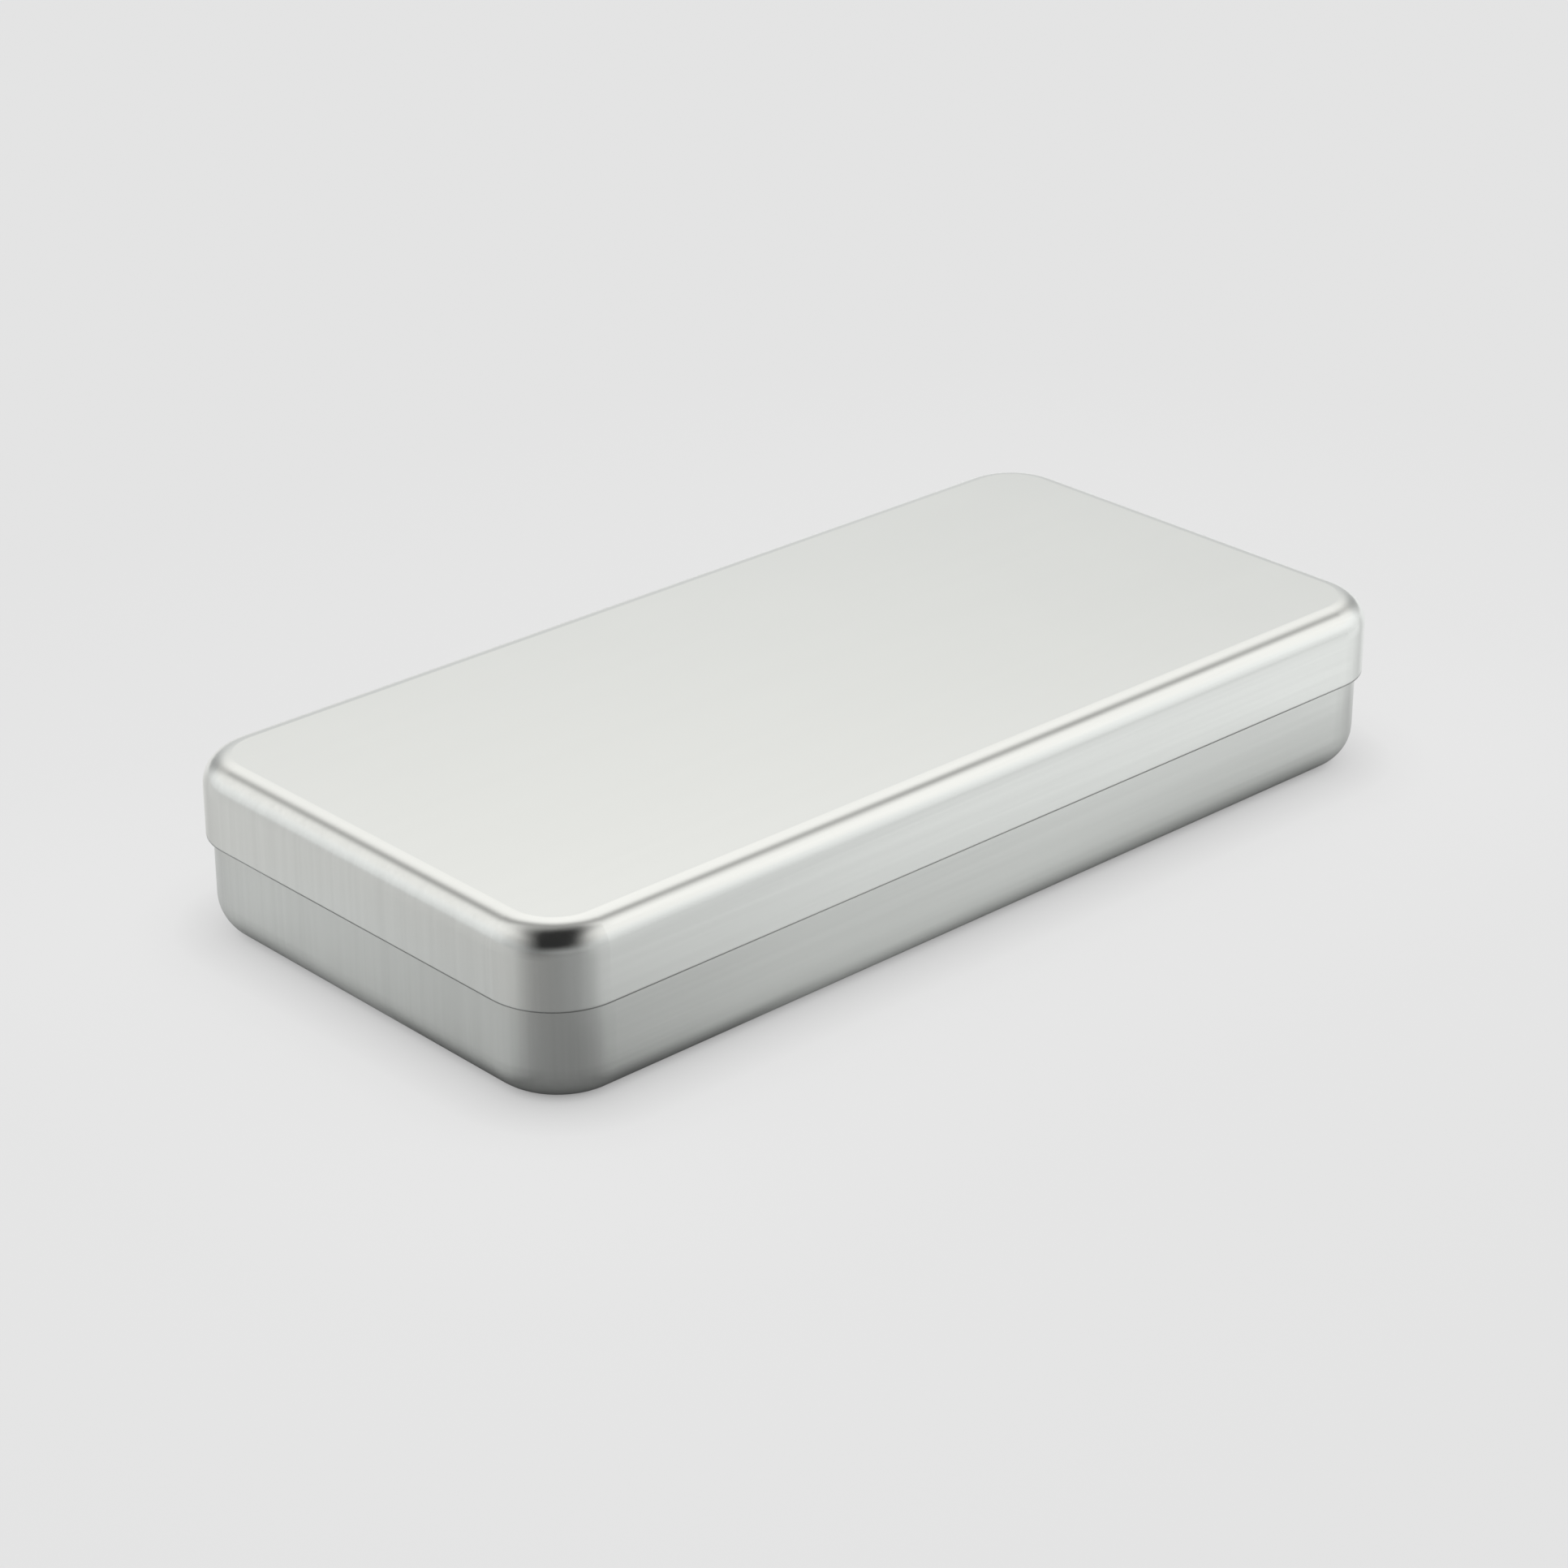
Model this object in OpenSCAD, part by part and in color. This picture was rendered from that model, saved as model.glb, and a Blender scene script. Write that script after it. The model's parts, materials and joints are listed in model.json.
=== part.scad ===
// Colored pencil tin: a drawn sheet-metal base with a slip-on lid, two stacked trays and their pencils.
// The origin is the middle of the underside. X runs along the pencils, their points to +X, and Z is up.
// The tin is sized by what it holds, so its outside follows the pencils, the trays and the clearances.

/* [Pencils] */
// Pencils side by side in each tray
row_count = 12; // [4:1:14]
// Length of a pencil from its flat end to its tip
pencil_l = 175; // [120:1:190]
// Width of the six-sided barrel across its flats
barrel_af = 7; // [5.5:0.1:9]
// How much is rounded off each corner of the barrel
corner_cut = 0.19; // [0.1:0.01:0.35]
// Diameter of the colored core
core_d = 3.2; // [2:0.1:4]
// Glue line between core and casing
glue_gap = 0.03; // [0.02:0.01:0.1]
// Full angle of the sharpened point
point_angle = 23; // [16:1:40]
// Diameter of the blunt tip
tip_d = 0.7; // [0.3:0.1:1.5]
// Free width between neighbours in a tray
pencil_gap = 0.4; // [0.2:0.05:1.5]

/* [Trays] */
// Height of a tray's rim over the barrels
barrel_cover = 2.8; // [1:0.1:6]
// Least thickness of plastic under a groove
bed_min = 1.2; // [0.8:0.1:2.5]
// Flat left on top of the ridge between two grooves
ridge_flat = 0.8; // [0.4:0.1:1.4]
// Thickness of a tray's side wall
tray_wall = 1.6; // [1.2:0.1:2.5]
// Least wall left where the pocket comes near the tray's rounded edges
least_wall = 0.8; // [0.5:0.1:1.1]
// Room between the outermost groove and the side wall
side_border = 0.75; // [0.4:0.05:4]
// Free length at each end of a pencil
end_gap = 1; // [0.3:0.1:4]
// Length of the end block beyond what the tray's corners need
end_margin = 1.4; // [0.5:0.1:8]
// Length of the finger trough across the middle of a tray
trough_l = 26; // [16:1:40]
// Width of the foot strip under each groove
foot_w = 2; // [1:0.1:3]
// Wall left round the hollows on the underside
hollow_wall = 1.2; // [0.8:0.1:2]
// Hollow cells in a row under each end block
end_cells = 4; // [3:1:8]
// Corner radius of the pocket
pocket_corner_r = 1.5; // [0.5:0.1:2]
// Rounding along the lower edge of the upper tray
upper_edge_r = 0.5; // [0.3:0.1:0.8]
// Room between a tray and the wall of the base
tray_gap = 0.35; // [0.2:0.05:1]
// Clearance where a piece lies on the one under it
seat_gap = 0.1; // [0.05:0.05:0.3]

/* [Tin] */
// Thickness of the sheet metal
sheet_t = 0.5; // [0.3:0.05:0.8]
// Clearance between the lid's skirt and the base, each side
slip_gap = 0.15; // [0.08:0.01:0.3]
// Corner radius of the lid, seen from above
lid_corner_r = 13; // [10:0.5:18]
// How much rounder the base's corners are than the lid's slip fit needs
corner_ease = 1.45; // [0:0.05:3]
// Radius of the lid's rolled top edge
lid_roll_r = 5; // [2.5:0.1:7]
// Radius of the base's bottom edge
base_edge_r = 7.2; // [3:0.1:9]
// Depth of the lid, from its top to the edge of its skirt
skirt_depth = 14; // [9:0.5:20]
// Free height between the upper tray's rim and the lid
lid_room = 6; // [3:0.5:12]
// Clearance between the base's rim and the inside of the lid's roll
lid_seat_gap = 0.3; // [0.1:0.05:0.5]

/* [Hidden] */
$fn = 96;
pencil_count = 2 * row_count;
function two_digits(i) = i < 10 ? str("0", i) : str(i);
function pencil_name(i, piece) = str("pencil_", two_digits(i), "_", piece);

sheet_color = "silver";
tray_color = "whitesmoke";
lacquer_colors = [
    "ivory", "khaki", "peachpuff", "salmon", "hotpink", "plum",
    "lightskyblue", "aquamarine", "yellowgreen", "olivedrab", "peru", "darkgray",
    "gold", "darkorange", "red", "mediumvioletred", "darkorchid", "mediumblue",
    "dodgerblue", "darkturquoise", "green", "darkgreen", "saddlebrown", "black"
];
function pencil_color(i) = lacquer_colors[(i - 1) % len(lacquer_colors)];

// Sides of the barrel, and the slope of a groove's flanks that its lower two flats lie on
barrel_sides = 6;
flank_angle = 90 - 360 / barrel_sides;
flank_slope = tan(flank_angle);
cut_over = 1;

// Barrel: how far its corners reach from the axis, sharp and then rounded off
barrel_corner_r = barrel_af / 2 / cos(180 / barrel_sides);
barrel_round_r = barrel_corner_r - corner_cut;
core_r = core_d / 2;
bore_r = core_r + glue_gap;
point_slope = tan(point_angle / 2);
tip_x = pencil_l / 2;
core_point_x = tip_x - (core_r - tip_d / 2) / point_slope;
cone_start_x = core_point_x - (barrel_round_r - core_r) / point_slope;
pitch = barrel_af + pencil_gap;

// Base and lid seen from above, each inside the other
base_corner_r = lid_corner_r - sheet_t - slip_gap + corner_ease;
tray_corner_r = base_corner_r - sheet_t - tray_gap;
lower_edge_r = base_edge_r - sheet_t;

// The pocket stops short of the tray's rounded corners
corner_reach = sqrt(pow(tray_corner_r - least_wall, 2) - pow(tray_corner_r - tray_wall, 2));
end_block = tray_corner_r - corner_reach + end_margin;
pocket_l = pencil_l + 2 * end_gap;
pocket_w = row_count * pitch + 2 * side_border;
tray_l = pocket_l + 2 * end_block;
tray_w = pocket_w + 2 * tray_wall;
base_l = tray_l + 2 * (tray_gap + sheet_t);
base_w = tray_w + 2 * (tray_gap + sheet_t);
lid_l = base_l + 2 * (slip_gap + sheet_t);
lid_w = base_w + 2 * (slip_gap + sheet_t);

// Heights in a tray, from its foot: the bed clears the rounding along the tray's lower edge
groove_half_w = (pitch - ridge_flat) / 2;
ridge_h = groove_half_w * flank_slope;
edge_inset = lower_edge_r - (tray_wall - least_wall);
edge_clear_h = lower_edge_r - sqrt(pow(lower_edge_r, 2) - pow(edge_inset, 2));
bed_t = max(bed_min, edge_clear_h - ridge_h);
ridge_top_h = bed_t + ridge_h;
barrel_axis_h = bed_t + barrel_corner_r + seat_gap;
tray_h = barrel_axis_h + barrel_round_r + barrel_cover;

// Heights in the tin
lower_tray_z = sheet_t + seat_gap;
upper_tray_z = lower_tray_z + tray_h + seat_gap;
lid_under_z = upper_tray_z + tray_h + lid_room;
lid_top_z = lid_under_z + sheet_t;
// Where the base's outer wall would touch the inside of the roll
roll_inner_r = lid_roll_r - sheet_t;
roll_touch_h = sqrt(pow(roll_inner_r, 2) - pow(roll_inner_r - slip_gap, 2));
base_rim_z = lid_top_z - lid_roll_r + roll_touch_h - lid_seat_gap;

// Half of a wall's section: reach wide from the middle, h high, its lower outer corner rounded
module edge_section(reach, h, edge_r) {
    difference() {
        square([reach, h]);
        difference() {
            translate([reach - edge_r, -cut_over])
                square([edge_r + cut_over, edge_r + cut_over]);
            translate([reach - edge_r, edge_r])
                circle(r = edge_r);
        }
    }
}

// A straight run of that section, centred on the origin, facing +X
module edge_run(length, reach, h, edge_r) {
    translate([0, length / 2, 0])
        rotate([90, 0, 0])
            linear_extrude(length)
                edge_section(reach, h, edge_r);
}

// Block with round corners in plan and a rounded lower edge all round, its underside at Z 0
module rounded_block(l, w, h, corner_r, edge_r) {
    for (side = [0, 180])
        rotate([0, 0, side]) {
            translate([l / 2 - corner_r, 0, 0])
                edge_run(w - 2 * corner_r, corner_r, h, edge_r);
            rotate([0, 0, 90])
                edge_run(l - 2 * corner_r, w / 2, h, edge_r);
            for (turn = [0, 1])
                translate([l / 2 - corner_r, (w / 2 - corner_r) * (turn == 0 ? 1 : -1), 0])
                    rotate([0, 0, -90 * turn])
                        rotate_extrude(angle = 90)
                            edge_section(corner_r, h, edge_r);
        }
}

// Drawn sheet tub, open at the top
module drawn_tub(l, w, h, corner_r, edge_r) {
    difference() {
        rounded_block(l, w, h, corner_r, edge_r);
        translate([0, 0, sheet_t])
            rounded_block(l - 2 * sheet_t, w - 2 * sheet_t, h, corner_r - sheet_t, edge_r - sheet_t);
    }
}

module base() {
    color(sheet_color)
        drawn_tub(base_l, base_w, base_rim_z, base_corner_r, base_edge_r);
}

module lid() {
    color(sheet_color)
        translate([0, 0, lid_top_z])
            mirror([0, 0, 1])
                drawn_tub(lid_l, lid_w, skirt_depth, lid_corner_r, lid_roll_r);
}

// Prism along X of a section drawn in Y and Z
module prism_x(x0, x1) {
    translate([x0, 0, 0])
        rotate([90, 0, 90])
            linear_extrude(x1 - x0)
                children();
}

// Flat pocket with upright round corners
module pocket(l, w, h, r) {
    for (x = [-1, 1], y = [-1, 1])
        translate([x * (l / 2 - r), y * (w / 2 - r), 0])
            cylinder(h = h, r = r);
    translate([-l / 2, -w / 2 + r, 0])
        cube([l, w - 2 * r, h]);
    translate([-l / 2 + r, -w / 2, 0])
        cube([l - 2 * r, w, h]);
}

// Middle of groove number i, counted from 0 at the -Y side
function groove_y(i) = (i - (row_count - 1) / 2) * pitch;

// V groove that a six-sided barrel lies in, one corner down
module groove(i) {
    over = cut_over * flank_slope;
    translate([0, groove_y(i), bed_t])
        prism_x(-pocket_l / 2, pocket_l / 2)
            polygon([
                [0, 0],
                [groove_half_w, ridge_h],
                [groove_half_w, ridge_h + over],
                [-groove_half_w, ridge_h + over],
                [-groove_half_w, ridge_h]
            ]);
}

// Hollow under the ridge that follows groove number i, on each side of the trough
module ridge_hollow(i) {
    half_w = (pitch - foot_w) / 2;
    side_h = bed_t - bed_min;
    run = [trough_l / 2 + hollow_wall, pocket_l / 2 - hollow_wall];
    for (side = [0, 180])
        rotate([0, 0, side])
            translate([0, groove_y(i) + pitch / 2, 0])
                prism_x(run[0], run[1])
                    polygon([
                        [-half_w, -cut_over],
                        [half_w, -cut_over],
                        [half_w, side_h],
                        [0, side_h + half_w * flank_slope],
                        [-half_w, side_h]
                    ]);
}

// Row of hollow cells under an end block, with ribs between them
module end_hollows() {
    row_w = tray_w - 2 * tray_corner_r;
    cell_pitch = (row_w + hollow_wall) / end_cells;
    for (k = [0 : end_cells - 1])
        translate([pocket_l / 2 + hollow_wall, -row_w / 2 + k * cell_pitch, -cut_over])
            cube([end_block - 2 * hollow_wall, cell_pitch - hollow_wall, tray_h - hollow_wall + cut_over]);
}

// Tray with its foot at Z 0
module pencil_tray(edge_r) {
    difference() {
        rounded_block(tray_l, tray_w, tray_h, tray_corner_r, edge_r);
        translate([0, 0, ridge_top_h])
            pocket(pocket_l, pocket_w, tray_h, pocket_corner_r);
        for (i = [0 : row_count - 1])
            groove(i);
        translate([-trough_l / 2, -pocket_w / 2 + pocket_corner_r, bed_t])
            cube([trough_l, pocket_w - 2 * pocket_corner_r, ridge_h + cut_over]);
        for (i = [0 : row_count - 2])
            ridge_hollow(i);
        for (side = [0, 180])
            rotate([0, 0, side])
                end_hollows();
    }
}

module lower_tray() {
    color(tray_color)
        translate([0, 0, lower_tray_z])
            pencil_tray(lower_edge_r);
}

module upper_tray() {
    color(tray_color)
        translate([0, 0, upper_tray_z])
            pencil_tray(upper_edge_r);
}

// Place of pencil number i: the lower row first, each row from the -Y side
module at_pencil(i) {
    row = floor((i - 1) / row_count);
    tray_z = row == 0 ? lower_tray_z : upper_tray_z;
    translate([0, groove_y((i - 1) % row_count), tray_z + barrel_axis_h])
        children();
}

// Solid turned about the pencil's axis, from points of X and radius
module turned_x(points) {
    rotate([0, 90, 0])
        rotate_extrude()
            polygon([for (p = points) [p[1], p[0]]]);
}

module pencil_casing(i) {
    color(pencil_color(i))
        at_pencil(i)
            difference() {
                intersection() {
                    prism_x(-pencil_l / 2, core_point_x)
                        rotate(180 / barrel_sides)
                            circle(r = barrel_corner_r, $fn = barrel_sides);
                    turned_x([
                        [-pencil_l / 2, 0],
                        [-pencil_l / 2, barrel_round_r],
                        [cone_start_x, barrel_round_r],
                        [core_point_x, core_r],
                        [core_point_x, 0]
                    ]);
                }
                translate([-pencil_l / 2 - cut_over, 0, 0])
                    rotate([0, 90, 0])
                        cylinder(h = pencil_l + 2 * cut_over, r = bore_r);
            }
}

module pencil_core(i) {
    color(pencil_color(i))
        at_pencil(i)
            turned_x([
                [-pencil_l / 2, 0],
                [-pencil_l / 2, core_r],
                [core_point_x, core_r],
                [tip_x, tip_d / 2],
                [tip_x, 0]
            ]);
}

base();
lid();
lower_tray();
upper_tray();
for (i = [1 : pencil_count])
    pencil_casing(i);
for (i = [1 : pencil_count])
    pencil_core(i);
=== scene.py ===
"""A coloured pencil tin in brushed sheet metal, closed, on a pale floor.

The lid, base, trays and pencils come from the CAD model. This script gives each of them its finish,
sets the tin on the floor, lights it and places the camera.
"""

import json
import math

import bpy
import bmesh
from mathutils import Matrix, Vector

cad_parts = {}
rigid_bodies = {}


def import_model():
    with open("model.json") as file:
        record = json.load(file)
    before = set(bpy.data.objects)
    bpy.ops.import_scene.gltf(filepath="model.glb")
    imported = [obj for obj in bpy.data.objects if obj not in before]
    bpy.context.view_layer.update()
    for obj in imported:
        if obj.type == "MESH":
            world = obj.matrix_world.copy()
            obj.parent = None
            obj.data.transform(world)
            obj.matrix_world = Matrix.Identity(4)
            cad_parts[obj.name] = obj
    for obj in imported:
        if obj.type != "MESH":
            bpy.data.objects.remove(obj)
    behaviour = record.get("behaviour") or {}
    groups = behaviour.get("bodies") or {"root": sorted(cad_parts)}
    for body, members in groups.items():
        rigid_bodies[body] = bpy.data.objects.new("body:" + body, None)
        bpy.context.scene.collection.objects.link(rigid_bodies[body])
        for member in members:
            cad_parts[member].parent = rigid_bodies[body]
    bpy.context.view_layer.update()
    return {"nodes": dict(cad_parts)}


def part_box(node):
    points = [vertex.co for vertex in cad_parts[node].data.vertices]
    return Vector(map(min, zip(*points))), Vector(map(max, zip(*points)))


MM = 0.001

for leftover in list(bpy.data.objects):
    bpy.data.objects.remove(leftover)

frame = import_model()
nodes = frame["nodes"]


# Camera

# Where the photograph was taken from: a turn round the tin, a height, and a distance from the aimed point
VIEW_TURN = math.radians(-42.993)
VIEW_HEIGHT = math.radians(25.525)
VIEW_DISTANCE = 807.651 * MM
AIM = Vector((50.155, 60.006, -27.217)) * MM
# The focal length and the photograph's side, both in pixels, and the width of the sensor in millimetres
FOCAL = 5071.767
PHOTO_SIDE = 1932
SENSOR = 36.0


def place_camera():
    back = Vector(
        (
            math.sin(VIEW_TURN) * math.cos(VIEW_HEIGHT),
            -math.cos(VIEW_TURN) * math.cos(VIEW_HEIGHT),
            math.sin(VIEW_HEIGHT),
        )
    )
    lens = bpy.data.cameras.new("camera")
    lens.sensor_width = SENSOR
    lens.lens = FOCAL * SENSOR / PHOTO_SIDE
    lens.clip_start = 0.01
    lens.clip_end = 50.0
    camera = bpy.data.objects.new("camera", lens)
    camera.rotation_mode = "QUATERNION"
    camera.rotation_quaternion = (-back).to_track_quat("-Z", "Y")
    camera.location = AIM + back * VIEW_DISTANCE
    bpy.context.scene.collection.objects.link(camera)
    bpy.context.scene.camera = camera


# Node helpers

VALUE = "NodeSocketFloat"
COLOR = "NodeSocketColor"
BLACK = (0, 0, 0, 1)
WHITE = (1, 1, 1, 1)


class Bench:
    """Adds the nodes of one tree and joins them."""

    def __init__(self, tree):
        self.tree = tree

    def node(self, kind, inputs=None, **settings):
        new = self.tree.nodes.new(kind)
        for key, value in settings.items():
            setattr(new, key, value)
        for key, value in (inputs or {}).items():
            self.feed(new.inputs[key], value)
        return new

    def feed(self, socket, value):
        if isinstance(value, bpy.types.NodeSocket):
            self.tree.links.new(value, socket)
        else:
            socket.default_value = value

    def math(self, operation, *values):
        new = self.tree.nodes.new("ShaderNodeMath")
        new.operation = operation
        for socket, value in zip(new.inputs, values):
            self.feed(socket, value)
        return new.outputs[0]

    def vector(self, operation, *values):
        new = self.tree.nodes.new("ShaderNodeVectorMath")
        new.operation = operation
        for socket, value in zip(new.inputs, values):
            self.feed(socket, value)
        return new.outputs["Value" if operation in ("DOT_PRODUCT", "LENGTH") else "Vector"]

    def ramp(self, value, low, high, out_low=0.0, out_high=1.0, kind="SMOOTHSTEP"):
        """Goes smoothly from out_low to out_high as the value goes from low to high."""
        new = self.node("ShaderNodeMapRange", interpolation_type=kind)
        for name, number in (
            ("Value", value),
            ("From Min", low),
            ("From Max", high),
            ("To Min", out_low),
            ("To Max", out_high),
        ):
            self.feed(new.inputs[name], number)
        return new.outputs["Result"]

    def level_by(self, value, low, high, stops):
        """A level read off a line of (place, level) stops, whose places lie from low to high."""
        line = self.node("ShaderNodeValToRGB", {"Fac": self.ramp(value, low, high, kind="LINEAR")})
        marks = line.color_ramp.elements
        while len(marks) < len(stops):
            marks.new(0.5)
        for mark, (at, level) in zip(marks, stops):
            mark.position = (at - low) / (high - low)
            mark.color = (level, level, level, 1)
        return line.outputs["Color"]

    def mix(self, share, first, second):
        """Blends two colours."""
        new = self.node("ShaderNodeMix", data_type="RGBA")
        self.feed(new.inputs["Factor"], share)
        for key, value in (("A", first), ("B", second)):
            socket = [s for s in new.inputs if s.name == key and s.type == "RGBA"][0]
            self.feed(socket, value)
        return [s for s in new.outputs if s.type == "RGBA"][0]

    def blend(self, share, first, second):
        """Blends two numbers."""
        return self.math("MULTIPLY_ADD", share, self.math("SUBTRACT", second, first), first)

    def dimmed(self, level, share):
        """A level with a share of it taken away."""
        return self.math("MULTIPLY", level, self.math("SUBTRACT", 1.0, share))

    def bell(self, off):
        """A soft band: 1 where off is 0, and almost 0 from 2 on."""
        return self.math("EXPONENT", self.math("MULTIPLY", self.math("MULTIPLY", off, off), -1.0))

    def degrees(self, angle):
        return self.math("MULTIPLY", angle, 180 / math.pi)

    def split(self, vector):
        return self.node("ShaderNodeSeparateXYZ", {0: vector}).outputs

    def join(self, x, y, z):
        return self.node("ShaderNodeCombineXYZ", {0: x, 1: y, 2: z}).outputs[0]

    def noise(self, vector, scale, detail, roughness):
        return self.node(
            "ShaderNodeTexNoise",
            {"Vector": vector, "Scale": scale, "Detail": detail, "Roughness": roughness},
        ).outputs["Fac"]

    def place(self):
        return self.node("ShaderNodeTexCoord").outputs["Object"]

    def facing(self):
        return self.node("ShaderNodeNewGeometry").outputs["Normal"]

    def bump(self, height, distance):
        return self.node(
            "ShaderNodeBump", {"Height": height, "Distance": distance, "Strength": 1.0}
        ).outputs["Normal"]


def new_group(name, inputs, outputs):
    """An effect that several finishes share. Returns its bench and its own input and output nodes."""
    tree = bpy.data.node_groups.new(name, "ShaderNodeTree")
    for socket, default in inputs.items():
        made = tree.interface.new_socket(socket, in_out="INPUT", socket_type=VALUE)
        made.default_value = default
    for socket, kind in outputs.items():
        tree.interface.new_socket(socket, in_out="OUTPUT", socket_type=kind)
    bench = Bench(tree)
    return bench, bench.node("NodeGroupInput").outputs, bench.node("NodeGroupOutput").inputs


def use_group(bench, name, inputs=None):
    made = bench.node("ShaderNodeGroup", node_tree=bpy.data.node_groups[name])
    for key, value in (inputs or {}).items():
        bench.feed(made.inputs[key], value)
    return made.outputs


def new_finish(name, **numbers):
    """A material with one Principled shader, whose plain numbers are set on its own sockets."""
    finish = bpy.data.materials.new(name)
    finish.use_nodes = True
    bench = Bench(finish.node_tree)
    shader = finish.node_tree.nodes["Principled BSDF"]
    for key, value in numbers.items():
        shader.inputs[key.replace("_", " ").title().replace("Ior", "IOR")].default_value = value
    return finish, bench, shader.inputs


def shaded(tint, share=1.0):
    """A tint as a full colour, darker or brighter by a share."""
    return tuple(c * share for c in tint) + (1,)


# Shared effects

# Brushing: how little it changes along a line, lying or upright, the scale of its streaks beside that of
# its lines, and how much of both a flat top shows
LYING_STRETCH = 0.014
UPRIGHT_STRETCH = 0.02
STREAK_SCALE = 0.3
TOP_SHARE = 0.16

# Pencils: half length, radius of the core and of its tip, slope of the sharpened cone, and the place along
# the pencil where the cone is as thick as the core
PENCIL_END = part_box("pencil_01_core")[1].x
CORE_R = 1.6 * MM
TIP_R = 0.35 * MM
POINT_SLOPE = math.tan(math.radians(11.5))
POINT_X = PENCIL_END - (CORE_R - TIP_R) / POINT_SLOPE
# Edge of the bare wood: how deep the cone is taken to be, how ragged that is, and how soft the edge
EDGE_INSET = 0.02 * MM
EDGE_RAGGED = 0.06 * MM
EDGE_SOFT = 0.012 * MM
# The sawn end: its wood is bare this near the pencil's back, and lacquered from here on
END_SOLID = 0.01 * MM
END_FADE = 0.03 * MM

# Wood: how little its fibres and its bands change along the barrel, and its colours
FIBRE_STRETCH = 0.07
BAND_STRETCH = 0.12
WOOD_PALE = (0.70, 0.47, 0.27, 1)
WOOD_BAND = (0.56, 0.34, 0.175, 1)
WOOD_FIBRE = (0.36, 0.19, 0.09, 1)
WOOD_SCORE = (0.42, 0.25, 0.13, 1)


def make_brushing():
    """Fine lines and wider streaks, from 0 to 1 and faint on flat tops.

    They run along the tin on its top and long walls, and upright on its short walls and corners.
    """
    bench, given, out = new_group("brushed lines", {"Fineness": 1500.0}, {"Lines": VALUE, "Streaks": VALUE})
    x, y, z = bench.split(bench.place())
    facing = bench.split(bench.facing())
    level = bench.math("ABSOLUTE", facing["Z"])
    end_wall = bench.ramp(bench.math("ABSOLUTE", facing["X"]), 0.05, 0.22)
    upright = bench.math("MULTIPLY", end_wall, bench.ramp(level, 0.35, 0.75, 1.0, 0.0))
    strength = bench.ramp(level, 0.7, 0.98, 1.0, TOP_SHARE)
    along = bench.join(bench.math("MULTIPLY", x, LYING_STRETCH), y, z)
    down = bench.join(x, y, bench.math("MULTIPLY", z, UPRIGHT_STRETCH))
    coarse = bench.math("MULTIPLY", given["Fineness"], STREAK_SCALE)
    for name, fineness, detail in (("Lines", given["Fineness"], 4.0), ("Streaks", coarse, 2.0)):
        lying = bench.noise(along, fineness, detail, roughness=0.65)
        standing = bench.noise(down, fineness, detail, roughness=0.65)
        centered = bench.math("SUBTRACT", bench.blend(upright, lying, standing), 0.5)
        bench.feed(out[name], bench.math("MULTIPLY_ADD", centered, strength, 0.5))


def make_patches():
    """Slow uneven patches, such as a satin surface has, from 0 to 1."""
    bench, given, out = new_group("slow patches", {"Patches": 60.0}, {"Patch": VALUE})
    soft = bench.noise(bench.place(), given["Patches"], detail=2.0, roughness=0.5)
    bench.feed(out["Patch"], bench.ramp(soft, 0.3, 0.7))


def make_pencil_zones():
    """Where a pencil's wood is bare, on its cone and its sawn end, and the turn round its own axis."""
    bench, given, out = new_group(
        "pencil zones", {"Axis Y": 0.0, "Axis Z": 0.0}, {"Bare": VALUE, "Turn": VALUE}
    )
    x, y, z = bench.split(bench.place())
    dy = bench.math("SUBTRACT", y, given["Axis Y"])
    dz = bench.math("SUBTRACT", z, given["Axis Z"])
    radius = bench.vector("LENGTH", bench.join(0.0, dy, dz))
    cone = bench.math("MULTIPLY_ADD", bench.math("SUBTRACT", POINT_X, x), POINT_SLOPE, CORE_R)
    ragged = bench.noise(bench.place(), scale=2600.0, detail=2.0, roughness=0.6)
    inset = bench.math("MULTIPLY_ADD", ragged, EDGE_RAGGED, EDGE_INSET)
    over = bench.math("SUBTRACT", radius, bench.math("SUBTRACT", cone, inset))
    on_cone = bench.ramp(over, 0.0, EDGE_SOFT)
    on_end = bench.ramp(x, END_FADE - PENCIL_END, END_SOLID - PENCIL_END)
    bench.feed(out["Bare"], bench.math("MAXIMUM", on_cone, on_end))
    bench.feed(out["Turn"], bench.math("ARCTAN2", dy, dz))


def make_wood_grain():
    """Pale pencil wood: long fibres along the barrel, a little darker in bands."""
    bench, given, out = new_group("wood grain", {"Shift": 0.0}, {"Wood": COLOR, "Fibre": VALUE})
    x, y, z = bench.split(bench.place())
    shifted = bench.math("ADD", y, given["Shift"])
    fibre_place = bench.join(bench.math("MULTIPLY", x, FIBRE_STRETCH), shifted, z)
    band_place = bench.join(bench.math("MULTIPLY", x, BAND_STRETCH), shifted, z)
    fibre = bench.noise(fibre_place, scale=3200.0, detail=4.0, roughness=0.7)
    band = bench.noise(band_place, scale=700.0, detail=2.0, roughness=0.5)
    tone = bench.mix(bench.ramp(band, 0.35, 0.65), WOOD_PALE, WOOD_BAND)
    bench.feed(out["Wood"], bench.mix(bench.ramp(fibre, 0.5, 0.8, 0.0, 0.55), tone, WOOD_FIBRE))
    bench.feed(out["Fibre"], fibre)


# Finishes

# Tints of the two sheets and of the trays. The base is the same metal as the lid, made about a ninth darker:
# painted shade for its walls, which look darker than the lid's
LID_TINT = (0.872, 0.896, 0.872)
BASE_TINT_WITH_PAINTED_SHADE = (0.775, 0.797, 0.775)
TRAY_TINT = (0.80, 0.79, 0.76)

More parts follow.
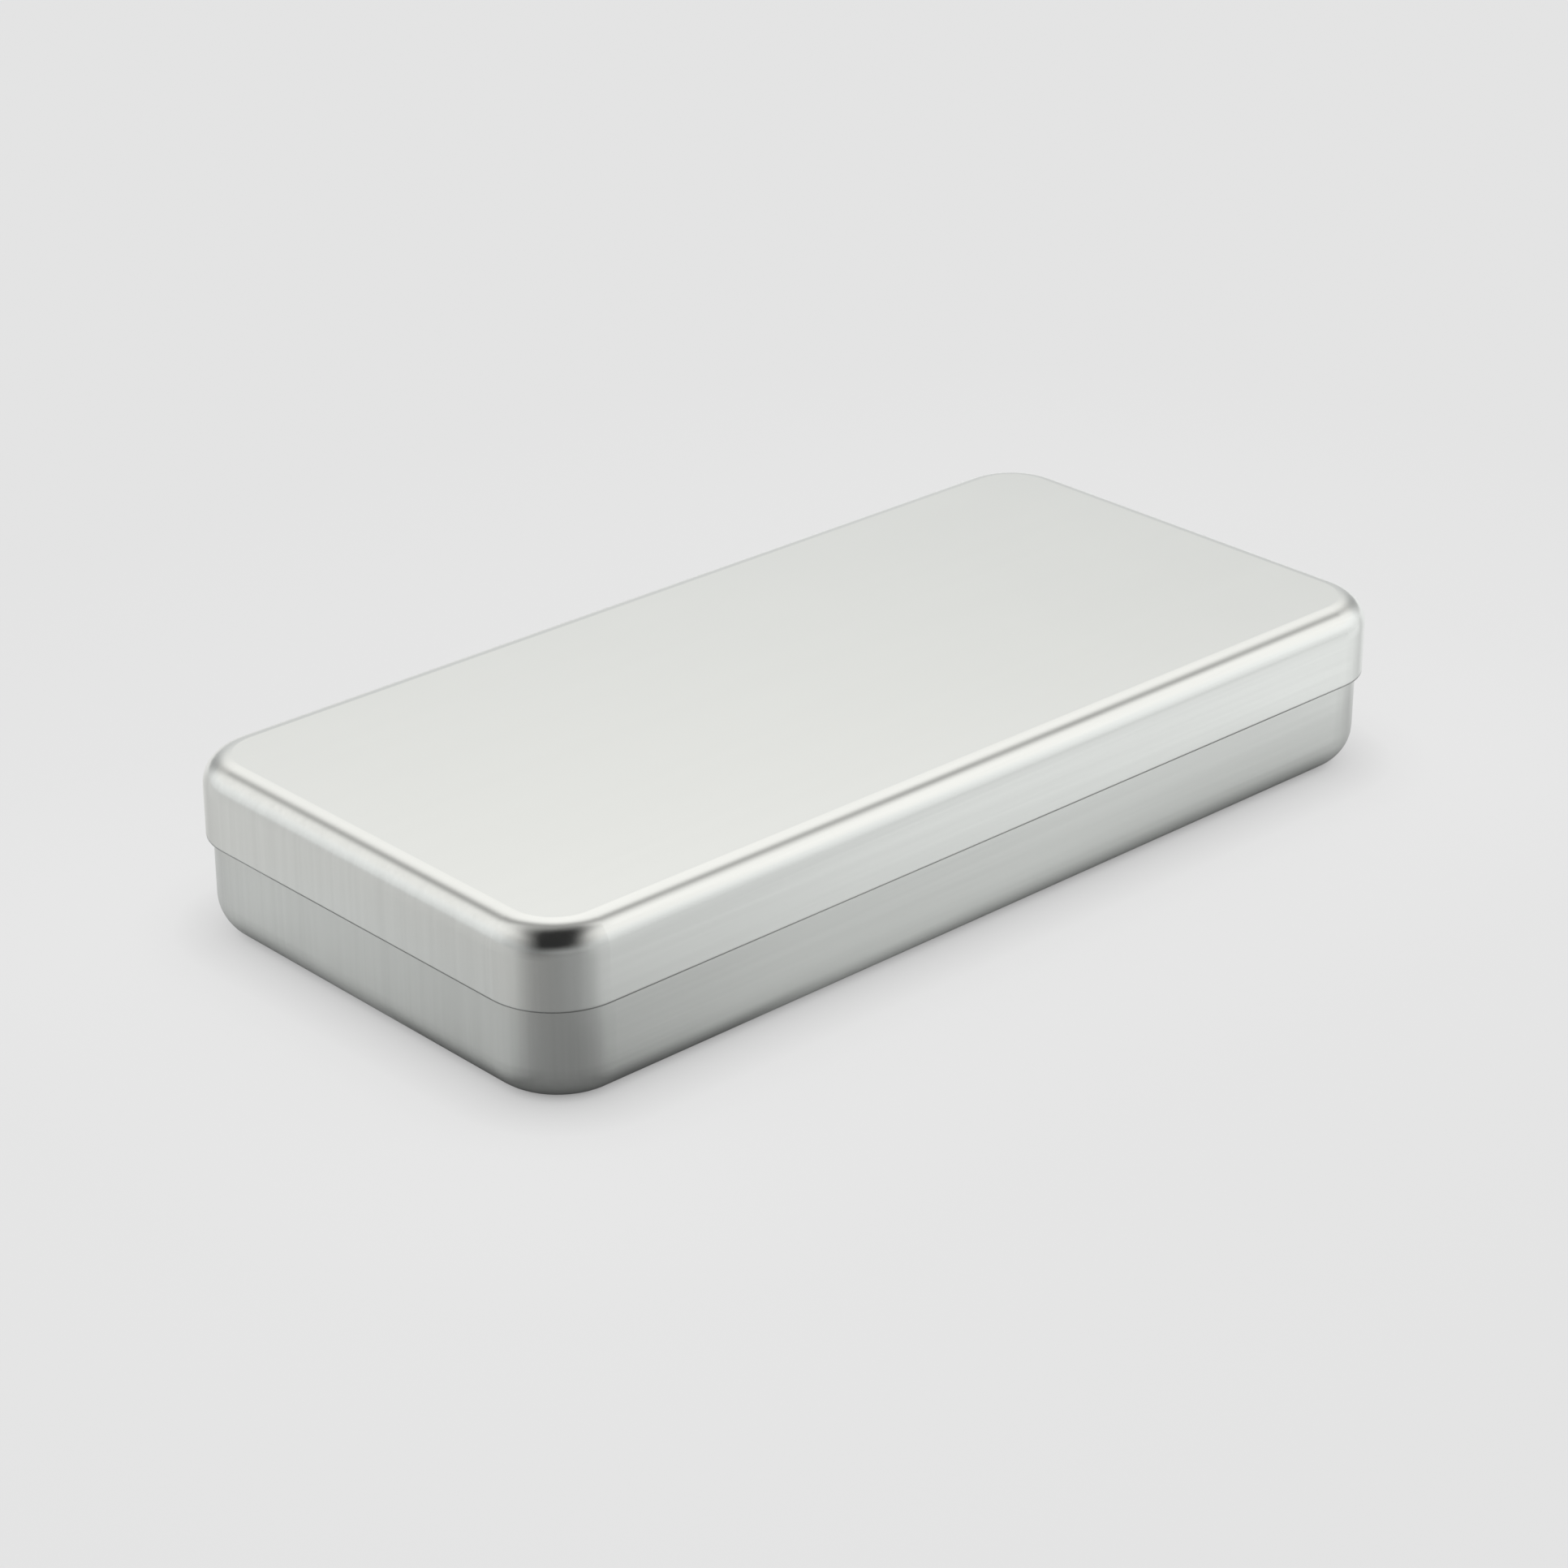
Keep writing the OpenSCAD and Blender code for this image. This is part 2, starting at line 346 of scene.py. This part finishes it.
# Brushed sheet: swing of its tone, its roughness with the shares of lines, patches and the unbrushed
# inside, the height of its lines, and the height of its streaks beside theirs
TONE_SWING = 0.035
SHEET_ROUGHNESS = 0.175
LINE_ROUGHNESS = 0.06
PATCH_ROUGHNESS = 0.02
INSIDE_ROUGHNESS = 0.1
LINE_HEIGHT = 1.5e-6
STREAK_HEIGHT = 3.0

# Cut rim of the lid: height of its rounded strip, how far that looks down, the near-black colour of the
# painted shade mixed into that strip, and the share of it
RIM_STRIP = 0.45 * MM
RIM_TURN = -0.85
RIM_PAINTED_SHADE = (0.1, 0.1, 0.1, 1)
RIM_SHARE = 0.2

# Plastic and wax: their roughness, and how much their grain adds to it
PLASTIC_ROUGHNESS = 0.36
PLASTIC_GRAIN = 0.16
WAX_ROUGHNESS = 0.42
WAX_GRAIN = 0.2

# Casings: the roughness and clear coat of the lacquer, the roughness of the bare wood, how little the
# lacquer's flow changes along the barrel, and how far the wood shifts from one pencil to the next
LACQUER_ROUGHNESS = 0.28
LACQUER_COAT = 0.85
BARE_ROUGHNESS = 0.72
FLOW_STRETCH = 0.25
WOOD_SHIFT = 0.013

# Heights up the tin's axis that the insides of the lid and the base face
LID_INNER_Z = 10 * MM
BASE_INNER_Z = 22 * MM

# Colours of the pencils, number 1 to 24: the pale and dull ones below, the strong ones above
PENCIL_TINTS = [
    (0.86, 0.80, 0.62),
    (0.87, 0.75, 0.26),
    (0.86, 0.48, 0.28),
    (0.80, 0.26, 0.17),
    (0.82, 0.32, 0.42),
    (0.47, 0.33, 0.62),
    (0.30, 0.53, 0.78),
    (0.25, 0.62, 0.55),
    (0.36, 0.60, 0.15),
    (0.20, 0.24, 0.06),
    (0.56, 0.30, 0.06),
    (0.27, 0.27, 0.28),
    (0.88, 0.62, 0.03),
    (0.83, 0.23, 0.02),
    (0.62, 0.03, 0.02),
    (0.40, 0.01, 0.06),
    (0.18, 0.05, 0.32),
    (0.02, 0.05, 0.28),
    (0.04, 0.26, 0.62),
    (0.02, 0.33, 0.36),
    (0.03, 0.30, 0.08),
    (0.01, 0.12, 0.05),
    (0.20, 0.07, 0.025),
    (0.018, 0.018, 0.020),
]


def brushed_sheet(name, tint, inner_z, rim=None):
    """Brushed sheet metal. The inside, which faces the point inner_z up the tin's axis, is left unbrushed.

    A cut rim at a height of rim is rounded over, so its last strip looks down at the dark joint; that strip
    is also painted a little darker, as painted shade under the rim.
    """
    finish, bench, shader = new_finish(name, metallic=1.0)
    lines = use_group(bench, "brushed lines")
    patch = use_group(bench, "slow patches", {"Patches": 45.0})["Patch"]
    x, y, z = bench.split(bench.place())
    from_middle = bench.join(x, y, bench.math("SUBTRACT", z, inner_z))
    outside = bench.ramp(bench.vector("DOT_PRODUCT", bench.facing(), from_middle), -0.001, 0.001)
    tone = bench.blend(0.6, lines["Lines"], lines["Streaks"])
    tone = bench.ramp(tone, 0.35, 0.65, kind="LINEAR")
    color = bench.mix(tone, shaded(tint, 1 - TONE_SWING), shaded(tint, 1 + TONE_SWING))
    roughness = bench.math("MULTIPLY_ADD", lines["Lines"], LINE_ROUGHNESS, SHEET_ROUGHNESS)
    roughness = bench.math("MULTIPLY_ADD", patch, PATCH_ROUGHNESS, roughness)
    inside = bench.math("SUBTRACT", 1.0, outside)
    roughness = bench.math("MULTIPLY_ADD", inside, INSIDE_ROUGHNESS, roughness)
    height = bench.math("MULTIPLY_ADD", lines["Streaks"], STREAK_HEIGHT, lines["Lines"])
    surface = bench.bump(bench.math("MULTIPLY", height, outside), distance=LINE_HEIGHT)
    if rim is not None:
        strip = bench.ramp(z, rim, rim + RIM_STRIP, 1.0, 0.0)
        turned = bench.join(0.0, 0.0, bench.math("MULTIPLY", strip, RIM_TURN))
        surface = bench.vector("NORMALIZE", bench.vector("ADD", surface, turned))
        # Painted shade: the rim's last strip is mixed a little toward near black
        color = bench.mix(bench.math("MULTIPLY", strip, RIM_SHARE), color, RIM_PAINTED_SHADE)
    bench.feed(shader["Base Color"], color)
    bench.feed(shader["Roughness"], roughness)
    bench.feed(shader["Normal"], surface)
    return finish


def moulded_plastic(name, tint):
    """Thin formed tray plastic with a fine even grain."""
    finish, bench, shader = new_finish(name, specular_ior_level=0.45)
    patch = use_group(bench, "slow patches", {"Patches": 90.0})["Patch"]
    grain = bench.noise(bench.place(), scale=6000.0, detail=3.0, roughness=0.6)
    bench.feed(shader["Base Color"], bench.mix(patch, shaded(tint, 0.95), shaded(tint)))
    roughness = bench.math("MULTIPLY_ADD", grain, PLASTIC_GRAIN, PLASTIC_ROUGHNESS)
    bench.feed(shader["Roughness"], roughness)
    bench.feed(shader["Normal"], bench.bump(grain, distance=6e-6))
    return finish


def lacquered_wood(name, tint, axis, number):
    """A glossy coloured barrel whose wood is bare on the sharpened cone and the sawn end."""
    finish, bench, shader = new_finish(name, coat_roughness=0.08, coat_ior=1.5)
    zones = use_group(bench, "pencil zones", {"Axis Y": axis.y, "Axis Z": axis.z})
    wood = use_group(bench, "wood grain", {"Shift": number * WOOD_SHIFT})
    bare = zones["Bare"]
    x, y, z = bench.split(bench.place())
    flow_place = bench.join(bench.math("MULTIPLY", x, FLOW_STRETCH), y, z)
    flow = bench.noise(flow_place, scale=420.0, detail=2.0, roughness=0.5)
    lacquer = bench.mix(bench.ramp(flow, 0.3, 0.7), shaded(tint, 0.86), shaded(tint))
    score = bench.noise(bench.join(x, zones["Turn"], 0.0), scale=2200.0, detail=1.0, roughness=0.4)
    cut = bench.mix(bench.ramp(score, 0.45, 0.75, 0.0, 0.25), wood["Wood"], WOOD_SCORE)
    bench.feed(shader["Base Color"], bench.mix(bare, lacquer, cut))
    roughness = bench.ramp(bare, 0.0, 1.0, LACQUER_ROUGHNESS, BARE_ROUGHNESS, kind="LINEAR")
    bench.feed(shader["Roughness"], roughness)
    bench.feed(shader["Coat Weight"], bench.ramp(bare, 0.0, 1.0, LACQUER_COAT, 0.0, kind="LINEAR"))
    raised = bench.blend(bare, flow, bench.math("MULTIPLY", wood["Fibre"], 0.5))
    bench.feed(shader["Normal"], bench.bump(raised, distance=1.2e-5))
    return finish


def wax_core(name, tint):
    """Pigmented wax core: a little uneven, with a soft sheen."""
    finish, bench, shader = new_finish(name, specular_ior_level=0.4)
    speck = bench.noise(bench.place(), scale=3800.0, detail=3.0, roughness=0.7)
    color = bench.mix(bench.ramp(speck, 0.35, 0.65), shaded(tint, 0.8), shaded(tint))
    bench.feed(shader["Base Color"], color)
    bench.feed(shader["Roughness"], bench.math("MULTIPLY_ADD", speck, WAX_GRAIN, WAX_ROUGHNESS))
    bench.feed(shader["Normal"], bench.bump(speck, distance=1.0e-5))
    return finish


def dress(node, finish):
    for slot in nodes[node].material_slots:
        slot.material = finish


def dress_all():
    dress("lid", brushed_sheet("lid metal", LID_TINT, LID_INNER_Z, rim=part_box("lid")[0].z))
    # The base metal's darker tint is painted shade, not a colour of its own
    dress("base", brushed_sheet("base metal", BASE_TINT_WITH_PAINTED_SHADE, BASE_INNER_Z))
    tray = moulded_plastic("tray plastic", TRAY_TINT)
    dress("lower_tray", tray)
    dress("upper_tray", tray)
    for number, tint in enumerate(PENCIL_TINTS, start=1):
        low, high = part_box(f"pencil_{number:02d}_core")
        axis = (low + high) / 2
        dress(f"pencil_{number:02d}_casing", lacquered_wood(f"lacquer {number:02d}", tint, axis, number))
        dress(f"pencil_{number:02d}_core", wax_core(f"core {number:02d}", tint))


# Floor and light

# Brightness of the backdrop and of the dome that lights it, and the yellow cast of warm light
PALE = 0.775
DOME = 0.95
WARM = (1.0, 0.977, 0.959)
FLOOR_ALBEDO = PALE / DOME
# How much of its light the floor gives back to the camera, beside what it glows by itself
CAMERA_SHARE = 0.22

# The front of the set, which the tin's near corner faces, and the right of it
FRONT = (-0.682, -0.731, 0.0)
RIGHT = (0.731, -0.682, 0.0)

# Corners of the lid and its rolled edge, and the corners of the base
LID_CORNER = 13 * MM
LID_ROLL = 5 * MM
FOOT_CORNER = 13.8 * MM

# Floor as metal sees it: levels by the way from the near corner, from the back at -1 to the front at 1
FLOOR_RIGHT = [
    (-0.85, 1.18),
    (-0.7, 1.08),
    (-0.64, 0.79),
    (-0.58, 1.0),
    (-0.5, 1.12),
    (-0.3, 1.04),
    (-0.05, 0.90),
    (0.3, 0.79),
    (0.5, 0.70),
    (0.78, 0.45),
    (1.0, 0.34),
]
FLOOR_LEFT = [
    (-0.8, 1.15),
    (-0.7, 0.84),
    (-0.62, 0.79),
    (-0.48, 0.88),
    (0.0, 0.78),
    (0.48, 0.76),
    (0.65, 0.68),
    (0.85, 0.46),
    (1.0, 0.34),
]
FLOOR_LEAST = 0.33
# The two sides meet over this far on either side of the corner
SIDES_BLEND = 20 * MM
# Ramps on the gap to the base in millimetres, and on the way: where each starts and ends, with its levels
SEEN_BY_BASE = (33.0, 24.0)
SEEN_BY_LID = (24.0, 31.0, 0.0, 0.55)
SHORT_WALL_FADE = (10.0, 30.0, 1.0, 0.93)
LONG_WALL_SHADE = (-0.52, -0.36, 0.09, 0.14)
BACK_LIFT = (-0.4, -0.55, 0.0, 0.45)
# The floor's shadow round the tin, by the gap to the base in millimetres: as metal sees it, and in full view
SHADOW_IN_METAL = [(-6.0, 0.35), (-3.5, 0.41), (-1.0, 0.50), (1.5, 0.75), (4.5, 0.93), (12.0, 1.0)]
SHADOW_IN_VIEW = [
    (-6.0, 0.28),
    (-4.0, 0.53),
    (-2.4, 0.66),
    (1.0, 0.72),
    (5.0, 0.775),
    (8.0, 0.815),
    (15.0, 0.83),
    (60.0, 0.80),
    (150.0, 0.78),
]

# Flag: its radius, how far from its middle the ball it is made of is cut, and the rise of its middle; then,
# in degrees, the middle and half size of its dark patch across and up, with what these gain to its sides
FLAG_RADIUS = 20 * MM
FLAG_CUT = 0.2
FLAG_RISE = 1.2
FLAG_TURN = 3.0
FLAG_HALF_TURN = 44.0
FLAG_CLIMB = 49.0
FLAG_CLIMB_GAIN = 9.0
FLAG_HALF_CLIMB = 47.0
FLAG_HALF_CLIMB_GAIN = 8.0
# How square the patch is, the soft edge round it, and how its lower and upper parts fade
FLAG_SQUARE = 4.0
FLAG_EDGE = (1.38, 0.45)
FLAG_FOOT = (0.0, 28.0, 0.76, 0.995)
FLAG_BROW = (102.0, 88.0)
# Lengths of a reflection over which the flag fades from sight
FLAG_REACH = (19 * MM, 27 * MM, 1.0, 0.0)

# Dome at the back, as metal sees it: levels by the height in degrees
SKY_BACK = [
    (-10.0, 0.80),
    (5.0, 0.70),
    (17.0, 0.66),
    (20.0, 0.71),
    (29.5, 1.03),
    (33.0, 1.05),
    (37.0, 1.09),
]
# Dark ring on the dome: bearing and tilt of its axis, its radius and width, and its depth by height
RING_BEARING = math.radians(48)
RING_TILT = math.radians(34)
RING_RADIUS = math.radians(40.3)
RING_WIDTH = math.radians(9.5)
RING_FADE = (36.0, 46.0, 0.0, 0.68)
# Two dim posts at the back, in degrees: their middle, how far each stands from it at the floor and how
# it leans out with height, their width, and their depth by height
POSTS_MIDDLE = -3.0
POST_OUT = 30.0
POST_LEAN = 0.35
POST_WIDTH = 13.0
POST_FADE = (47.0, 36.0, 0.0, 0.42)
# Ramps on the height in degrees, and on the ways to the front and to the right: where each starts and ends,
# with its levels
ROOM_WALL = (-6.0, 22.0, 0.72, 1.0)
RIGHT_WALL = (-0.7, 0.6, 0.9, 1.04)
BACK_EDGE = (-0.5, -0.85)
BACK_RIGHT = (0.0, 0.14, 1.0, 0.95)
IN_FRONT = (-0.1, 0.6)
BELOW_CEILING = (50.0, 25.0)
WARM_HEIGHT = (17.0, 31.0)
# How much darker the room is in front of the set
ROOM_DEPTH = 0.4


def set_axes(bench, vector):
    """How far a vector goes to the front of the set, and to its right."""
    return bench.vector("DOT_PRODUCT", vector, FRONT), bench.vector("DOT_PRODUCT", vector, RIGHT)


def warmed(bench, share, level):
    """A level as a colour, a little yellow where share is 1."""
    plain = bench.join(level, level, level)
    return bench.mix(share, plain, bench.vector("MULTIPLY", plain, WARM))


def near_corner():
    """The middle of the lid's near corner, seen from above, and the height of its top."""
    low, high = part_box("lid")
    return Vector((low.x + LID_CORNER, low.y + LID_CORNER, high.z))


def gap_to_base(bench, x, y):
    """How far a point of the floor is outside the base's outline, in millimetres; negative under it."""
    far_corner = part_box("base")[1]
    qx = bench.math("SUBTRACT", bench.math("ABSOLUTE", x), far_corner.x - FOOT_CORNER)
    qy = bench.math("SUBTRACT", bench.math("ABSOLUTE", y), far_corner.y - FOOT_CORNER)
    outer = bench.vector("LENGTH", bench.vector("MAXIMUM", bench.join(qx, qy, 0.0), (0.0, 0.0, 0.0)))
    inner = bench.math("MINIMUM", bench.math("MAXIMUM", qx, qy), 0.0)
    gap = bench.math("SUBTRACT", bench.math("ADD", outer, inner), FOOT_CORNER)
    return bench.math("DIVIDE", gap, MM)


def floor_in_metal(bench, x, y, gap):
    """The floor as metal sees it: bright at the back, dim before the near corner and close to the tin."""
    corner = near_corner()
    dx = bench.math("SUBTRACT", x, corner.x)
    dy = bench.math("SUBTRACT", y, corner.y)
    way = bench.join(dx, dy, 0.0)
    ahead, side = set_axes(bench, way)
    toward = bench.math("DIVIDE", ahead, bench.math("MAXIMUM", bench.vector("LENGTH", way), 1e-6))
    right = bench.level_by(toward, -1.0, 1.0, FLOOR_RIGHT)
    shade = bench.math("MULTIPLY", bench.ramp(gap, *SEEN_BY_BASE), bench.ramp(toward, *LONG_WALL_SHADE))
    right = bench.dimmed(right, shade)
    left = bench.level_by(toward, -1.0, 1.0, FLOOR_LEFT)
    left = bench.math("MULTIPLY", left, bench.ramp(gap, *SHORT_WALL_FADE, kind="LINEAR"))
    level = bench.blend(bench.ramp(side, -SIDES_BLEND, SIDES_BLEND), left, right)
    shadow = bench.level_by(gap, -10.0, 20.0, SHADOW_IN_METAL)
    shadow = bench.blend(bench.ramp(toward, *BACK_LIFT), shadow, 1.0)
    level = bench.math("MAXIMUM", bench.math("MULTIPLY", level, shadow), FLOOR_LEAST)
    on_left = bench.ramp(side, SIDES_BLEND, -SIDES_BLEND)
    return warmed(bench, bench.math("MULTIPLY", on_left, bench.ramp(gap, *SEEN_BY_LID)), level)


def make_floor():
    """A pale table. In full view it is even, with a soft contact shadow round the tin."""
    form = bmesh.new()
    bmesh.ops.create_grid(form, x_segments=1, y_segments=1, size=30.0)
    mesh = bpy.data.meshes.new("floor")
    form.to_mesh(mesh)
    form.free()
    floor = bpy.data.objects.new("floor", mesh)
    bpy.context.scene.collection.objects.link(floor)
    finish, bench, shader = new_finish("pale table", roughness=1.0, specular_ior_level=0.0)
    rays = bench.node("ShaderNodeLightPath").outputs
    x, y = bench.split(bench.place())[:2]
    gap = gap_to_base(bench, x, y)
    shade = bench.mix(rays["Is Glossy Ray"], WHITE, floor_in_metal(bench, x, y, gap))
    shade = bench.mix(rays["Is Camera Ray"], shade, shaded(WHITE[:3], CAMERA_SHARE))
    bench.feed(shader["Base Color"], bench.mix(FLOOR_ALBEDO, BLACK, shade))
    bench.feed(shader["Emission Color"], bench.level_by(gap, -10.0, 200.0, SHADOW_IN_VIEW))
    bench.feed(shader["Emission Strength"], bench.math("MULTIPLY", rays["Is Camera Ray"], PALE))
    mesh.materials.append(finish)


def flag_patch(bench):
    """How dark the flag is: a soft patch with round corners, higher at its right and wider at both sides."""
    unit = bench.vector("NORMALIZE", bench.place())
    ahead, right = set_axes(bench, unit)
    turn = bench.degrees(bench.math("ARCSINE", right))
    aside = bench.math("DIVIDE", bench.math("SUBTRACT", turn, FLAG_TURN), FLAG_HALF_TURN)
    climb = bench.degrees(bench.math("ARCTAN2", bench.split(unit)["Z"], ahead))
    middle = bench.math("MULTIPLY_ADD", aside, FLAG_CLIMB_GAIN, FLAG_CLIMB)
    wider = bench.math("MULTIPLY", aside, aside)
    half = bench.math("MULTIPLY_ADD", wider, FLAG_HALF_CLIMB_GAIN, FLAG_HALF_CLIMB)
    over = bench.math("DIVIDE", bench.math("SUBTRACT", climb, middle), half)
    powers = [bench.math("POWER", bench.math("ABSOLUTE", part), FLAG_SQUARE) for part in (aside, over)]
    spread = bench.math("POWER", bench.math("ADD", *powers), 1 / FLAG_SQUARE)
    dark = bench.math("MULTIPLY", bench.ramp(spread, *FLAG_EDGE), bench.ramp(climb, *FLAG_FOOT))
    return bench.math("MULTIPLY", dark, bench.ramp(climb, *FLAG_BROW))


def hang_flag():
    """A small dark flag, curved round the near corner of the lid. Only reflections see it, from close by."""
    front = Vector(FRONT)
    form = bmesh.new()
    bmesh.ops.create_uvsphere(form, u_segments=48, v_segments=24, radius=FLAG_RADIUS)
    facing = (front + Vector((0, 0, FLAG_RISE))).normalized()
    bmesh.ops.bisect_plane(
        form,
        geom=form.verts[:] + form.edges[:] + form.faces[:],
        plane_co=facing * FLAG_RADIUS * FLAG_CUT,
        plane_no=facing,
        clear_inner=True,
    )
    mesh = bpy.data.meshes.new("flag")
    form.to_mesh(mesh)
    form.free()
    mesh.shade_smooth()
    flag = bpy.data.objects.new("flag", mesh)
    flag.location = near_corner() + (LID_CORNER - LID_ROLL) * front - Vector((0, 0, LID_ROLL))
    bpy.context.scene.collection.objects.link(flag)
    flag.visible_camera = False
    flag.visible_diffuse = False
    flag.visible_shadow = False
    flag.visible_transmission = False
    finish, bench, shader = new_finish("dark flag", base_color=BLACK, roughness=1.0, specular_ior_level=0.0)
    length = bench.node("ShaderNodeLightPath").outputs["Ray Length"]
    bench.feed(shader["Alpha"], bench.math("MULTIPLY", flag_patch(bench), bench.ramp(length, *FLAG_REACH)))
    mesh.materials.append(finish)


def ring_share(bench, unit, height):
    """The dark ring, which shows as the dark line along the lid's rolled edge."""
    axis = (
        math.cos(RING_BEARING) * math.cos(RING_TILT),
        math.sin(RING_BEARING) * math.cos(RING_TILT),
        math.sin(RING_TILT),
    )
    turned = bench.math("ARCCOSINE", bench.vector("DOT_PRODUCT", unit, axis))
    off = bench.math("DIVIDE", bench.math("SUBTRACT", turned, RING_RADIUS), RING_WIDTH)
    return bench.math("MULTIPLY", bench.bell(off), bench.ramp(height, *RING_FADE))


def posts_share(bench, ahead, right, height):
    """The two dim posts, which show as the grey ends of the rolled edge."""
    back = bench.math("MULTIPLY", ahead, -1.0)
    bearing = bench.degrees(bench.math("ARCTAN2", right, back))
    out = bench.math("ABSOLUTE", bench.math("SUBTRACT", bearing, POSTS_MIDDLE))
    stand = bench.math("MULTIPLY_ADD", height, POST_LEAN, POST_OUT)
    off = bench.math("DIVIDE", bench.math("SUBTRACT", out, stand), POST_WIDTH)
    return bench.math("MULTIPLY", bench.bell(off), bench.ramp(height, *POST_FADE))


def light_studio():
    """One soft dome, even in full view and for matt surfaces.

    Metal sees its walls, brighter on the right, with the ring and the posts, and the dim room in front.
    """
    world = bpy.data.worlds.new("studio")
    bpy.context.scene.world = world
    world.use_nodes = True
    bench = Bench(world.node_tree)
    sky = world.node_tree.nodes["Background"].inputs
    unit = bench.vector("NORMALIZE", bench.node("ShaderNodeTexCoord").outputs["Generated"])
    x, y, z = bench.split(unit)
    height = bench.degrees(bench.math("ARCSINE", z))
    ahead, right = set_axes(bench, unit)
    across = bench.vector("LENGTH", bench.join(x, y, 0.0))
    toward = bench.math("DIVIDE", ahead, bench.math("MAXIMUM", across, 0.001))
    room = bench.ramp(height, *ROOM_WALL, kind="LINEAR")
    back = bench.level_by(height, -10.0, 40.0, SKY_BACK)
    back = bench.math("MULTIPLY", back, bench.ramp(right, *BACK_RIGHT))
    level = bench.blend(bench.ramp(toward, *BACK_EDGE), room, back)
    level = bench.math("MULTIPLY", level, bench.ramp(right, *RIGHT_WALL))
    level = bench.dimmed(level, ring_share(bench, unit, height))
    level = bench.dimmed(level, posts_share(bench, ahead, right, height))
    in_front = bench.math("MULTIPLY", bench.ramp(toward, *IN_FRONT), bench.ramp(height, *BELOW_CEILING))
    level = bench.dimmed(level, bench.math("MULTIPLY", in_front, ROOM_DEPTH))
    in_metal = warmed(bench, bench.ramp(height, *WARM_HEIGHT), level)
    rays = bench.node("ShaderNodeLightPath").outputs
    color = bench.mix(rays["Is Glossy Ray"], (DOME, DOME, DOME, 1), in_metal)
    bench.feed(sky["Color"], bench.mix(rays["Is Camera Ray"], color, (PALE, PALE, PALE, 1)))
    sky["Strength"].default_value = 1.0


make_brushing()
make_patches()
make_pencil_zones()
make_wood_grain()
place_camera()
dress_all()
make_floor()
hang_flag()
light_studio()
bpy.context.scene.view_settings.view_transform = "Standard"
